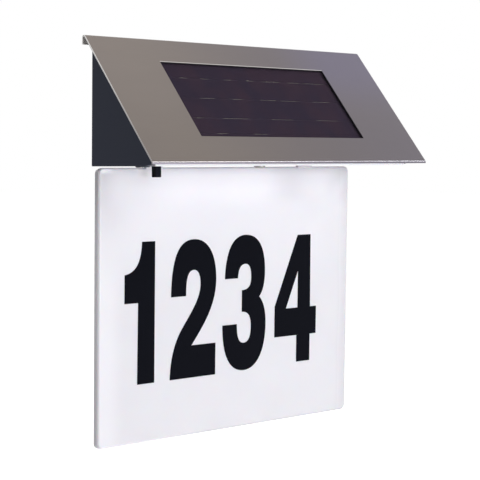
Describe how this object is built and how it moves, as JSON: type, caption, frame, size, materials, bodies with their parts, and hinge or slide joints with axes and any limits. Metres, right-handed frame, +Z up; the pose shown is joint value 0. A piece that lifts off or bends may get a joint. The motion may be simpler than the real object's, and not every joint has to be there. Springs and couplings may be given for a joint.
{
  "type": "illuminated house number sign",
  "caption": "Solar house number sign: a bent steel roof with a solar window over a black wedge housing that lights an opal number panel hung below it.",
  "frame": {"origin": "midway between the two keyholes, on the wall plane", "axes": "+Y into the wall (the front faces -Y), +X to the right seen from the front, +Z up"},
  "size_m": [0.195, 0.0554, 0.2062],
  "materials": {
    "steel": "brushed stainless sheet, satin",
    "screw_steel": "zinc plated",
    "black_abs": "moulded, fine texture",
    "black_switch": "moulded, smooth",
    "opal_acrylic": "opal, satin gloss",
    "digit_vinyl": "vinyl film, satin",
    "solar_silicon": "dark thin film cell",
    "solar_back": "dark laminate backing",
    "clear_glass": "clear cover sheet",
    "led_resin": "water clear resin over phosphor",
    "foam": "closed cell foam",
    "tape": "acrylic foam tape",
    "pcb_green": "solder mask",
    "component": "moulded component bodies",
    "cell_jacket": "plain shrink jacket",
    "spring_steel": "nickel plated",
    "lead_insulation": "insulated lead"
  },
  "bodies": {
    "sign": {"roof_cover": "steel", "roof_tape": "tape", "housing": "black_abs", "rear_cover": "black_abs", "rear_cover_screws": "screw_steel", "battery_cell": "cell_jacket", "battery_contact": "spring_steel", "battery_spring": "spring_steel", "solar_glass": "clear_glass", "solar_cells": "solar_silicon", "solar_backing": "solar_back", "solar_seal": "foam", "number_panel": "opal_acrylic", "digit_one": "digit_vinyl", "digit_two": "digit_vinyl", "digit_three": "digit_vinyl", "digit_four": "digit_vinyl", "panel_screws": "screw_steel", "lamp_boards": "pcb_green", "leds": "led_resin", "light_diffuser": "opal_acrylic", "switch_body": "black_switch", "switch_plate": "black_abs", "plate_screw": "screw_steel", "circuit_tray": "black_abs", "circuit_board": "pcb_green", "board_parts": "component", "board_screws": "screw_steel", "floor_screw": "screw_steel", "solar_leads": "lead_insulation", "battery_leads": "lead_insulation", "lamp_leads": "lead_insulation", "switch_leads": "lead_insulation"},
    "switch_knob": {"switch_knob": "black_switch"},
    "battery_door": {"battery_door": "black_abs", "door_seal": "foam"}
  },
  "joints": [
    {"name": "switch_slide", "type": "slide", "parent": "sign", "child": "switch_knob", "axis": [1, 0, 0], "range_m": [-0.004, 0]},
    {"name": "battery_door_hinge", "type": "hinge", "parent": "sign", "child": "battery_door", "pos_m": [0, -0.0015, -0.006], "axis": [1, 0, 0], "range_deg": [0, 85]}
  ]
}
